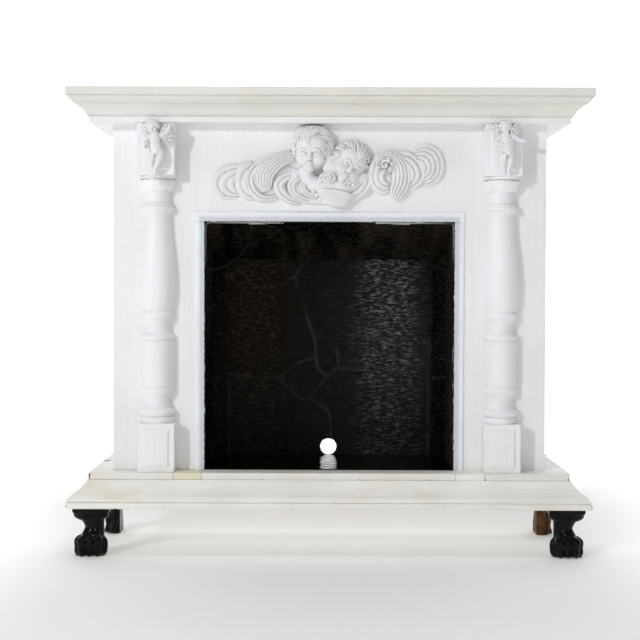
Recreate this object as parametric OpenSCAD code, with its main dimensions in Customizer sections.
// Fireplace mantel: a wooden surround with a firebox, on four claw feet.
// Origin on the floor under the middle of the whole piece. The front faces -Y. Millimetres.

/* [Body] */
// Width of the body across its face
body_w = 1060; // [980:10:1200]
// Depth of the body behind its face
body_d = 290; // [285:5:340]
// Height of the body from the deck to the bed board
body_h = 845; // [820:5:920]
// Thickness of the face and side boards
board_t = 18; // [16:1:20]

/* [Shelf and cornice] */
// Thickness of the mantel shelf
shelf_t = 20; // [18:1:25]
// How far the shelf stands out past the body
shelf_out = 98; // [96:1:104]
// Thickness of the bed board under the crown moulding
bed_t = 15; // [12:1:18]
// How far the bed board stands out past the body
bed_out = 50; // [46:1:52]
// Height of the crown moulding
crown_h = 44; // [42:1:50]

/* [Plinth] */
// How far the plinth stands out past the body
plinth_out = 100; // [98:1:106]
// Thickness of the bull-nosed board at the bottom
plinth_board_t = 17; // [15:1:20]
// Height of the sloped plinth moulding
plinth_moulding_h = 48; // [44:1:54]
// How far the step boards stand out past the body
step_out = 53; // [50:1:55]
// Thickness of the step boards and the deck
step_t = 17; // [15:1:20]

/* [Fire opening] */
// Width of the fire opening
opening_w = 610; // [560:5:620]
// Height of the fire opening
opening_h = 609; // [560:1:620]
// Width of the trim round the opening
trim_w = 26; // [20:1:30]
// Thickness of that trim
trim_t = 5; // [4:1:8]

/* [Firebox] */
// Depth of the firebox behind the face
firebox_d = 268; // [262:1:268]
// Depth at which the straight reveals end and the splayed cheeks begin
reveal_d = 200; // [180:5:220]
// Width of the firebox at its back
firebox_back_w = 550; // [500:5:560]
// Height of the canopy's low edge above the deck
canopy_low_h = 523; // [500:1:540]
// Diameter of the round cable hole in the back
cable_hole_d = 42; // [30:1:50]

/* [Posts and feet] */
// Width of the newel posts' blocks, which are also their turning stock
newel_w = 90; // [80:1:94]
// Distance between the middles of the two posts
newel_spacing = 840; // [820:5:860]
// Height of the post's lower block
lower_block_h = 118; // [110:1:126]
// Height of the post's upper block
upper_block_h = 126; // [120:1:134]
// Height of the claw feet
foot_h = 117; // [100:1:130]

/* [Hidden] */
$fn = 48;

// Heights of the layers, from the floor up
moulding_z = foot_h + plinth_board_t;
step_z = moulding_z + plinth_moulding_h;
deck_z = step_z + step_t;
bed_z = deck_z + body_h;
crown_z = bed_z + bed_t;
shelf_z = crown_z + crown_h;

// Depths: the face of the body, its rear, and the back of the face panel
face_y = -(body_d + plinth_out) / 2 + plinth_out;
rear_y = face_y + body_d;
panel_back_y = face_y + board_t;
half_w = body_w / 2;
half_opening = opening_w / 2;
opening_top_z = deck_z + opening_h;
mitre_reach = plinth_out + 10;

// Colours
aged_white = [0.90, 0.88, 0.82];
cool_white = [0.91, 0.92, 0.93];
raw_wood = [0.72, 0.56, 0.38];
soot_black = [0.05, 0.05, 0.055];
iron_black = [0.09, 0.09, 0.10];
lacquer_black = [0.04, 0.04, 0.045];
steel_grey = [0.55, 0.56, 0.58];

// ---- Outline helpers ----

// Points of a shallow curve from p to q, bowed to the left of that direction by sag
function bow(p, q, sag, n = 8) =
    let (c = q - p, side = [-c[1], c[0]] / norm(c))
    [for (i = [0:n]) p + i / n * c + 4 * sag * i / n * (1 - i / n) * side];

// An outline without any point that repeats the one before it
function joined(points) =
    [for (i = [0:len(points) - 1]) if (i == 0 || points[i] != points[i - 1]) points[i]];

// Points of a circle's arc about centre c
function arc(c, r, a0, a1, n = 8) =
    [for (i = [0:n]) c + r * [cos(a0 + (a1 - a0) * i / n), sin(a0 + (a1 - a0) * i / n)]];

// A board from its lowest corner to its highest
module board(lo, hi) {
    translate(lo) cube(hi - lo);
}

module on_side(side) {
    mirror([side < 0 ? 1 : 0, 0, 0]) children();
}

// ---- Mouldings: an outline of [distance out from the body, height], mitred at the front corners ----

module moulding_front(outline) {
    intersection() {
        rotate([90, 0, 90])
            linear_extrude(body_w + 2 * mitre_reach, center = true)
                polygon([for (p = outline) [face_y - p[0], p[1]]]);
        linear_extrude(2 * shelf_z)
            polygon([[-half_w, face_y], [-half_w - mitre_reach, face_y - mitre_reach],
                     [half_w + mitre_reach, face_y - mitre_reach], [half_w, face_y]]);
    }
}

module moulding_end(side, outline) {
    on_side(side)
        intersection() {
            translate([0, rear_y, 0])
                rotate([90, 0, 0])
                    linear_extrude(body_d + mitre_reach)
                        polygon([for (p = outline) [half_w + p[0], p[1]]]);
            linear_extrude(2 * shelf_z)
                polygon([[half_w, face_y], [half_w + mitre_reach, face_y - mitre_reach],
                         [half_w + mitre_reach, rear_y], [half_w, rear_y]]);
        }
}

// Crown: a fillet, a cove and an ovolo under the shelf
crown_back = 36;
crown_outline = concat(
    [[crown_back, crown_z], [bed_out + 5, crown_z], [bed_out + 5, crown_z + 3]],
    bow([bed_out + 7, crown_z + 4], [shelf_out - 17, shelf_z - 16], 4),
    [[shelf_out - 14, shelf_z - 16]],
    bow([shelf_out - 14, shelf_z - 13], [shelf_out - 5, shelf_z - 3], -2),
    [[shelf_out - 3, shelf_z - 3], [shelf_out - 3, shelf_z], [crown_back, shelf_z]]);

// Plinth: a fillet, a long hollow slope, a step and a short round
plinth_back = 30;
plinth_outline = concat(
    [[plinth_back, moulding_z], [plinth_back, step_z], [step_out + 3, step_z], [step_out + 3, step_z - 4]],
    bow([step_out + 5, step_z - 6], [plinth_out - 17, step_z - 31], -1.5),
    bow([plinth_out - 14, step_z - 33], [plinth_out - 4, moulding_z + 3], 1.5),
    [[plinth_out - 4, moulding_z]]);

// ---- Shelf and cornice ----

module mantel_shelf() {
    color(aged_white)
        board([-half_w - shelf_out, face_y - shelf_out, shelf_z],
              [half_w + shelf_out, rear_y, shelf_z + shelf_t]);
}

module bed_board() {
    color(aged_white)
        board([-half_w - bed_out, face_y - bed_out, bed_z], [half_w + bed_out, rear_y, crown_z]);
}

module crown_front() {
    color(aged_white) moulding_front(crown_outline);
}

module crown_end(side) {
    color(aged_white) moulding_end(side, crown_outline);
}

// Rails on edge that hold the shelf off the bed board behind the crown
module shelf_risers() {
    outer = half_w + crown_back;
    color(raw_wood) {
        board([-outer, face_y - crown_back, crown_z], [outer, face_y - crown_back + board_t, shelf_z]);
        for (side = [-1, 1])
            on_side(side)
                board([outer - board_t, face_y - crown_back + board_t, crown_z], [outer, rear_y, shelf_z]);
    }
}

// ---- Body ----

screw_r = 1.8;
screw_hole_r = 1.9;
screw_depth = 14;
bar_mid_y = face_y + board_t / 2;

module face_panel() {
    color(cool_white)
        difference() {
            board([-half_w, face_y, deck_z], [half_w, panel_back_y, bed_z]);
            board([-half_opening, face_y - 1, deck_z - 1], [half_opening, panel_back_y + 1, opening_top_z]);
            for (side = [-1, 1])
                at_opening_corner(side)
                    bracket_screw_places(1)
                        cylinder(h = screw_depth + 1, r = screw_hole_r);
        }
}

module side_panel(side) {
    color(cool_white)
        on_side(side)
            board([half_w - board_t, panel_back_y, deck_z], [half_w, rear_y, bed_z]);
}

// Triangular blocks in the corners between the face panel and the side panels
glue_block_size = 40;
glue_block_h = 120;
module glue_blocks() {
    inner = half_w - board_t;
    color(raw_wood)
        for (side = [-1, 1], z = [deck_z + 90, bed_z - 90 - glue_block_h])
            on_side(side)
                translate([0, 0, z])
                    linear_extrude(glue_block_h)
                        polygon([[inner, panel_back_y], [inner - glue_block_size, panel_back_y],
                                 [inner, panel_back_y + glue_block_size]]);
}

rear_rail_h = 60;
upright_w = 40;
upright_x = 290;
module rear_rail() {
    color(raw_wood)
        board([board_t - half_w, rear_y - board_t, bed_z - rear_rail_h], [half_w - board_t, rear_y, bed_z]);
}

module rear_uprights() {
    color(raw_wood)
        for (side = [-1, 1])
            on_side(side)
                board([upright_x, rear_y - board_t, deck_z],
                      [upright_x + upright_w, rear_y, bed_z - rear_rail_h]);
}

// Trim strips: flat, with the outer edge rounded over
trim_outline = concat([[0, 0], [0, trim_t]], bow([trim_w - 4, trim_t], [trim_w, 0], 1.2, 5));

module trim_side(side) {
    color(cool_white)
        on_side(side)
            translate([half_opening, face_y, deck_z])
                linear_extrude(opening_h)
                    mirror([0, 1, 0]) polygon(trim_outline);
}

module trim_top() {
    color(cool_white)
        translate([0, face_y, opening_top_z])
            rotate([90, 0, 90])
                linear_extrude(opening_w + 2 * trim_w, center = true)
                    polygon([for (p = trim_outline) [-p[1], p[0]]]);
}

// ---- Half newel posts ----

newel_r = newel_w / 2;
shaft_z = deck_z + lower_block_h;
shaft_top_z = bed_z - upper_block_h;
shaft_h = shaft_top_z - shaft_z;

// The turning, as [radius, height over the lower block]: a base, a drum and a vase between waists, and a capital
function ring(z0, z1, r, swell) = bow([r, z0], [r, z1], -swell);
shaft_outline = joined(concat(
    [[0, 0]],
    ring(0, 14, newel_r - 4, 1.2),
    ring(16, 35, newel_r - 7, 6.4),
    bow([newel_r - 9, 36], [newel_r - 14, 62], 3),
    bow([newel_r - 14, 63], [newel_r - 9, 70], 1.2, 4),
    ring(72, 88, newel_r - 7, 3),
    bow([newel_r - 6, 91], [newel_r - 5, 191], -1.2, 4),
    ring(193, 200, newel_r - 5, 0.8),
    ring(202, 217, newel_r - 7, 4),
    bow([newel_r - 10, 219], [newel_r - 14, 229], 1.2, 4),
    bow([newel_r - 14, 243], [newel_r - 7, 252], 1.5, 4),
    ring(254, 271, newel_r - 7, 3.5),
    bow([newel_r - 9, 273], [newel_r - 1.5, 330], -2.6),
    bow([newel_r - 1.5, 331], [newel_r - 7, 425], -1.6),
    bow([newel_r - 7, 426], [newel_r - 13, 508], 1.4),
    bow([newel_r - 12, 510], [newel_r - 7, 517], 1, 4),
    ring(518, 527, newel_r - 5, 1.6),
    ring(528, 533, newel_r - 8, 0.8),
    bow([newel_r - 13, 535], [newel_r - 13, 563], 0.8, 4),
    bow([newel_r - 11, 565], [newel_r - 1, 587], -2),
    [[newel_r - 1, 591], [newel_r - 8, 591], [newel_r - 8, 594]],
    [[newel_r - 2, 594], [newel_r - 2, shaft_h], [0, shaft_h]]));

module newel(side) {
    color(cool_white)
        translate([side * newel_spacing / 2, face_y, 0]) {
            intersection() {
                translate([0, 0, shaft_z]) rotate_extrude($fn = 96) polygon(shaft_outline);
                board([-newel_r, -newel_r, shaft_z], [newel_r, 0, shaft_top_z]);
            }
            board([-newel_r, -newel_r, deck_z], [newel_r, 0, shaft_z]);
            board([-newel_r, -newel_r, shaft_top_z], [newel_r, 0, bed_z]);
        }
}

// Raised panel with bevelled edges, laid on a block's face
plaque_margin = 13;
plaque_t = 4;
plaque_bevel = 4;
module plaque(side, z0, h) {
    w = newel_w - 2 * plaque_margin;
    color(cool_white)
        translate([side * newel_spacing / 2, face_y - newel_r, z0 + plaque_margin])
            hull() {
                board([-w / 2, -0.5, 0], [w / 2, 0, h - 2 * plaque_margin]);
                board([plaque_bevel - w / 2, -plaque_t, plaque_bevel],
                      [w / 2 - plaque_bevel, -0.5, h - 2 * plaque_margin - plaque_bevel]);
            }
}

// ---- Castings ----

// A tapering limb or feather between two balls
module limb(p, q, r0, r1) {
    hull() {
        translate(p) sphere(r0, $fn = 14);
        translate(q) sphere(r1, $fn = 14);
    }
}

// A limb that follows a list of [x, y, z, radius]
module chain(points) {
    for (i = [0:len(points) - 2]) {
        a = points[i];
        b = points[i + 1];
        limb([a[0], a[1], a[2]], [b[0], b[1], b[2]], a[3], b[3]);
    }
}

// What is in front of the plane at y, from there to reach
module in_front(y, reach = 80) {
    intersection() {
        children();
        board([-half_w, y - reach, deck_z], [half_w, y, bed_z]);
    }
}

// Small winged cherub, hanging in front of the upper plaque
putto_y = face_y - newel_r - plaque_t;
putto_z = bed_z - 74;
module putto(side) {
    color(cool_white)
        in_front(putto_y, 26)
            translate([side * (newel_spacing / 2 + 5), putto_y - 9, putto_z])
                mirror([side > 0 ? 1 : 0, 0, 0]) {
                    limb([0, -1, 54], [0, -1, 58], 13, 13);
                    limb([0, 0, 32], [2, 0, 0], 14, 14);
                    chain([[-8, -1, 34, 8], [-24, -1, 26, 6], [-28, -3, 10, 5]]);
                    chain([[8, -1, 34, 8], [24, 0, 46, 6], [30, -2, 60, 5]]);
                    chain([[-5, 0, -6, 11], [-9, -3, -36, 9], [-6, -2, -64, 7]]);
                    chain([[7, 0, -6, 11], [12, -3, -34, 9], [5, -1, -58, 7]]);
                    limb([-14, 6, 36], [-28, 8, 58], 8, 9);
                    limb([14, 6, 36], [26, 8, 30], 8, 9);
                }
}

// Two sleeping cherub heads, cheek to cheek, over folded drapery
head_z = bed_z - 63;
module cherub_heads() {
    color(cool_white)
        in_front(face_y, 62)
            translate([0, face_y, head_z]) {
                hull() {
                    translate([-46, -4, 10]) sphere(49, $fn = 28);
                    translate([-40, -22, -28]) sphere(30, $fn = 20);
                }
                hull() {
                    translate([42, -6, -26]) sphere(40, $fn = 26);
                    translate([14, -14, -50]) sphere(26, $fn = 20);
                }
                chain([[-84, -4, -70, 34], [-20, -6, -88, 38], [50, -6, -84, 34], [92, -2, -72, 20]]);
                chain([[-50, -24, -96, 18], [0, -30, -106, 18], [48, -22, -110, 16]]);
            }
}

// Wing of overlapping crescent lobes, the largest beside the heads
module wing_lobe(x, z, h, lean, r) {
    chain([for (i = [0:3])
        let (t = i / 3)
        [x - lean * sin(180 * t) - 14 * (1 - t), -6 - 10 * sin(180 * t), z + h * (0.5 - t), r]]);
}

left_lobes = 6;
module wing_left() {
    color(cool_white)
        in_front(face_y, 34)
            translate([0, face_y, head_z]) {
                for (i = [0:left_lobes - 1])
                    wing_lobe(-106 - 33 * i, -62 - 3 * i, 78 - 6 * i, 14, 17 - 0.8 * i);
                chain([[-94, -8, -18, 16], [-160, -6, -28, 14], [-232, -4, -42, 12]]);
            }
}

// The right wing: a rosette whose long feathers curl down, then two crescent lobes that rise outwards
module wing_right() {
    color(cool_white)
        in_front(face_y, 38)
            translate([0, face_y, head_z]) {
                for (i = [0:3])
                    chain([[106 + 12 * i, -12, -22 + 6 * i, 20], [128 + 12 * i, -12, -56, 16],
                           [140 + 9 * i, -8, -106 + 6 * i, 9]]);
                for (i = [0:1])
                    chain([[176 + 34 * i, -6, 6 - 4 * i, 17], [208 + 34 * i, -8, -24, 18],
                           [194 + 30 * i, -6, -64 + 8 * i, 15]]);
                chain([[120, -2, -30, 30], [214, 0, -26, 22]]);
            }
}

// ---- Firebox ----

firebox_back_y = face_y + firebox_d;
firebox_top_z = opening_top_z + 12;
reveal_t = 12;
back_t = rear_y - board_t - firebox_back_y;
floor_t = 2.5;
canopy_t = 6;
half_back = firebox_back_w / 2;
hole_r = cable_hole_d / 2;
hole_z = deck_z + floor_t + hole_r + 0.3;
// The firebox's inside in plan, from the depth y_front back
function firebox_plan(y_front) =
    [[-half_opening, y_front], [-half_opening, face_y + reveal_d], [-half_back, firebox_back_y],
     [half_back, firebox_back_y], [half_opening, face_y + reveal_d], [half_opening, y_front]];

module firebox_back() {
    color(soot_black)
        difference() {
            board([-upright_x - 30, firebox_back_y, deck_z],
                  [upright_x + 30, firebox_back_y + back_t, firebox_top_z]);
            translate([0, firebox_back_y - 1, hole_z])
                rotate([-90, 0, 0]) cylinder(h = back_t + 2, r = hole_r);
        }
}

module reveal(side) {
    color(soot_black)
        on_side(side)
            board([half_opening, panel_back_y, deck_z],
                  [half_opening + reveal_t, face_y + reveal_d, firebox_top_z]);
}

module cheek(side) {
    color(soot_black)
        on_side(side)
            translate([0, 0, deck_z])
                linear_extrude(firebox_top_z - deck_z)
                    polygon([[half_opening, face_y + reveal_d], [half_back, firebox_back_y],
                             [half_back + reveal_t, firebox_back_y],
                             [half_opening + reveal_t, face_y + reveal_d]]);
}

module canopy() {
    low_z = deck_z + canopy_low_h;
    color(soot_black)
        intersection() {
            rotate([90, 0, 90])
                linear_extrude(opening_w, center = true)
                    polygon([[panel_back_y, opening_top_z], [firebox_back_y, low_z],
                             [firebox_back_y, low_z + canopy_t],
                             [panel_back_y, opening_top_z + canopy_t]]);
            linear_extrude(2 * shelf_z) polygon(firebox_plan(face_y));
        }
}

module hearth_floor() {
    color(lacquer_black)
        translate([0, 0, deck_z]) linear_extrude(floor_t) polygon(firebox_plan(face_y + 2));
}

// ---- Iron corner brackets, drawn from the corner of the opening: x inwards, y down ----

bar_t = 3;
bar_w = 15;
top_arm = 192;
side_arm = 256;
elbow_r = 10;
brace_w = 12;
brace_c = [5, 8];
brace_r = 109;
curl_r = 9;

// Local X runs towards the middle of the opening, local Y runs down, local Z runs back
module at_opening_corner(side) {
    on_side(side)
        translate([half_opening, 0, opening_top_z])
            mirror([1, 0, 0]) rotate([-90, 0, 0]) children();
}

// A flat bar bent along an arc, in the plane of the bracket
module bar_arc(c, r, a0, a1, n = 16) {
    polygon(concat(arc(c, r + bar_t / 2, a0, a1, n), arc(c, r - bar_t / 2, a1, a0, n)));
}

module across_bar(w) {
    translate([0, 0, bar_mid_y - w / 2]) linear_extrude(w) children();
}

module bracket_angle(side) {
    color(iron_black)
        at_opening_corner(side)
            difference() {
                across_bar(bar_w)
                    union() {
                        translate([elbow_r, 0]) square([top_arm - elbow_r, bar_t]);
                        translate([0, elbow_r]) square([bar_t, side_arm - elbow_r]);
                        bar_arc([elbow_r, elbow_r], elbow_r - bar_t / 2, 180, 270);
                    }
                bracket_screw_places(bar_t + 1) cylinder(h = bar_t + 2, r = screw_hole_r);
            }
}

// The brace springs from one arm to the other and its tails end in curls
tail_top = 150;
tail_side = 205;
module bracket_brace(side) {
    mid = bar_t * 1.5;
    color(iron_black)
        at_opening_corner(side)
            difference() {
                across_bar(brace_w)
                    union() {
                        bar_arc(brace_c, brace_r, -1.9, 90.3, 24);
                        translate([brace_c[0] + brace_r - 6, bar_t]) square([tail_top - brace_r + 1, bar_t]);
                        bar_arc([tail_top, mid + curl_r], curl_r, -90, 130);
                        translate([bar_t, brace_c[1] + brace_r - 3]) square([bar_t, tail_side - brace_r - 5]);
                        bar_arc([mid + curl_r, tail_side], curl_r, 180, -40);
                    }
                bracket_screw_places(2 * bar_t + 1) cylinder(h = 2 * bar_t + 2, r = screw_hole_r);
            }
}

// Screws through the arms: two near the corner, two where the brace's tails lie on the arms
screw_at_top = [44, 130];
screw_at_side = [62, 176];

// Each place's Z points into the wood, and starts the given distance short of it
module at_top_screw(x, short) {
    translate([x, short, bar_mid_y]) rotate([90, 0, 0]) children();
}

module at_side_screw(y, short) {
    translate([short, y, bar_mid_y]) rotate([0, -90, 0]) children();
}

module bracket_screw_places(short) {
    for (x = screw_at_top) at_top_screw(x, short) children();
    for (y = screw_at_side) at_side_screw(y, short) children();
}

// The shank starts under the head and stops just short of the hole's end
screw_head_h = 2;
module bracket_screw(under_head) {
    cylinder(h = under_head + screw_depth - 1, r = screw_r);
    translate([0, 0, -screw_head_h]) cylinder(h = screw_head_h, r1 = 2.4, r2 = 3.8);
}

module bracket_screws() {
    color(iron_black)
        for (side = [-1, 1])
            at_opening_corner(side)
                for (i = [0, 1]) {
                    under_head = bar_t * (1 + i);
                    at_top_screw(screw_at_top[i], under_head) bracket_screw(under_head);
                    at_side_screw(screw_at_side[i], under_head) bracket_screw(under_head);
                }
}

// ---- Plinth ----

// Step boards along the front: joints in line with the opening and with the posts' inner faces
filler_x = newel_spacing / 2 - newel_r + 2;
module step_board(x0, x1) {
    color(aged_white) board([x0, face_y - step_out, step_z], [x1, face_y, deck_z]);
}

module step_return(side) {
    color(aged_white)
        on_side(side) board([half_w, face_y, step_z], [half_w + step_out, rear_y, deck_z]);
}

module deck_board() {
    color(raw_wood) board([-half_w, face_y, step_z], [half_w, rear_y, deck_z]);
}

module plinth_moulding_end(side) {
    color(aged_white) moulding_end(side, plinth_outline);
}

module plinth_moulding_front() {
    color(aged_white) moulding_front(plinth_outline);
}

// Bottom board with a bull nose on its front and ends; the feet bolt into it from below
module plinth_board() {
    nose = bow([plinth_out - 3, moulding_z - 1], [plinth_out - 3, foot_h + 1], 3);
    nosing = concat([[0, moulding_z]], nose, [[0, foot_h]]);
    color(aged_white)
        difference() {
            union() {
                board([-half_w, face_y, foot_h], [half_w, rear_y, moulding_z]);
                moulding_front(nosing);
                for (side = [-1, 1]) moulding_end(side, nosing);
            }
            foot_places() translate([0, 0, foot_h - 1]) cylinder(h = bolt_up + 1, r = bolt_hole_r);
        }
}

module plinth_rail_front() {
    color(raw_wood)
        board([-half_w - board_t / 2, face_y - board_t / 2, moulding_z],
              [half_w + board_t / 2, face_y + board_t / 2, step_z]);
}

module plinth_rail_rear() {
    color(raw_wood)
        board([-half_w - board_t / 2, rear_y - board_t, moulding_z],
              [half_w + board_t / 2, rear_y, step_z]);
}

module plinth_rails_end() {
    color(raw_wood)
        for (side = [-1, 1])
            on_side(side)
                board([half_w - board_t / 2, face_y + board_t / 2, moulding_z],
                      [half_w + board_t / 2, rear_y - board_t, step_z]);
}

// ---- Claw feet ----

foot_w = 90;
foot_d = 42;
bolt_r = 4;
bolt_hole_r = 4.05;
bolt_up = 14;
bolt_down = 40;
bolt_x = 38;
bolt_in = 12;
front_foot_x = half_w - 3;
front_foot_y = face_y - 45;
rear_foot_x = half_w + 17;
rear_foot_y = face_y + 182;

// Seen from the front: a slanted ear on the inner side and a cyma knee on the outer side
foot_front_outline = joined(concat(
    [[0, foot_h], [2, foot_h - 6]],
    bow([2, foot_h - 6], [18, 79], 1, 4),
    bow([18, 79], [13, 40], -2.5),
    bow([13, 40], [13, 3], -1, 4),
    [[16, 0], [84, 0]],
    bow([88, 4], [88, 27], -1.5, 4),
    bow([86, 29], [61, 52], 3),
    bow([61, 52], [68, 78], 3.5),
    bow([68, 78], [foot_w, 98], -3),
    [[foot_w, foot_h]]));
// Seen from its end: a flat back, a round knee, a thin neck and a paw that comes forward
foot_side_outline = joined(concat(
    [[0, 0], [foot_d - 3, 0]],
    bow([foot_d, 4], [foot_d - 2, 28], -1.5, 4),
    bow([foot_d - 4, 31], [21, 58], 3),
    bow([21, 58], [30, 84], 2),
    bow([30, 84], [foot_d - 2, foot_h - 8], -2),
    [[foot_d - 2, foot_h], [0, foot_h]]));

// The foot stands with its flat back on y = 0, its front at -Y and its ear at x = 0
module claw_foot() {
    difference() {
        intersection() {
            rotate([90, 0, 0]) linear_extrude(foot_d + 1) polygon(foot_front_outline);
            rotate([90, 0, 90]) linear_extrude(foot_w + 1)
                polygon([for (p = foot_side_outline) [-p[0], p[1]]]);
        }
        translate([bolt_x, -bolt_in, foot_h - bolt_down]) cylinder(h = bolt_down + 1, r = bolt_hole_r);
    }
}

module front_foot(side) {
    color(lacquer_black)
        on_side(side) translate([front_foot_x, front_foot_y, 0]) claw_foot();
}

module rear_foot(side) {
    color(lacquer_black)
        on_side(side) translate([rear_foot_x, rear_foot_y, 0]) rotate([0, 0, 90]) claw_foot();
}

module foot_places() {
    for (side = [-1, 1])
        on_side(side) {
            translate([front_foot_x + bolt_x, front_foot_y - bolt_in, 0]) children();
            translate([rear_foot_x + bolt_in, rear_foot_y + bolt_x, 0]) children();
        }
}

// Hanger bolts: half in the foot, half in the bottom board
module foot_bolts() {
    color(steel_grey)
        foot_places() translate([0, 0, foot_h - bolt_down]) cylinder(h = bolt_down + bolt_up, r = bolt_r);
}

mantel_shelf();
bed_board();
crown_front();
crown_end(-1);  // crown_left
crown_end(1);  // crown_right
shelf_risers();
face_panel();
side_panel(-1);  // side_panel_left
side_panel(1);  // side_panel_right
glue_blocks();
rear_rail();
rear_uprights();
trim_side(-1);  // trim_left
trim_side(1);  // trim_right
trim_top();
newel(-1);  // newel_left
newel(1);  // newel_right
plaque(-1, shaft_top_z, upper_block_h);  // upper_plaque_left
plaque(1, shaft_top_z, upper_block_h);  // upper_plaque_right
plaque(-1, deck_z, lower_block_h);  // lower_plaque_left
plaque(1, deck_z, lower_block_h);  // lower_plaque_right
putto(-1);  // putto_left
putto(1);  // putto_right
cherub_heads();
wing_left();
wing_right();
firebox_back();
reveal(-1);  // reveal_left
reveal(1);  // reveal_right
cheek(-1);  // cheek_left
cheek(1);  // cheek_right
canopy();
hearth_floor();
bracket_angle(-1);  // bracket_angle_left
bracket_angle(1);  // bracket_angle_right
bracket_brace(-1);  // bracket_brace_left
bracket_brace(1);  // bracket_brace_right
bracket_screws();
deck_board();
step_board(-half_w - step_out, -filler_x);  // step_left
step_board(-filler_x, -half_opening - 2.5);  // step_filler_left
step_board(-half_opening - 2.5, half_opening + 2.5);  // threshold
step_board(half_opening + 2.5, filler_x);  // step_filler_right
step_board(filler_x, half_w + step_out);  // step_right
step_return(-1);  // step_return_left
step_return(1);  // step_return_right
plinth_moulding_front();
plinth_moulding_end(-1);  // plinth_moulding_left
plinth_moulding_end(1);  // plinth_moulding_right
plinth_board();
plinth_rail_front();
plinth_rail_rear();
plinth_rails_end();
front_foot(-1);  // foot_front_left
front_foot(1);  // foot_front_right
rear_foot(-1);  // foot_rear_left
rear_foot(1);  // foot_rear_right
foot_bolts();
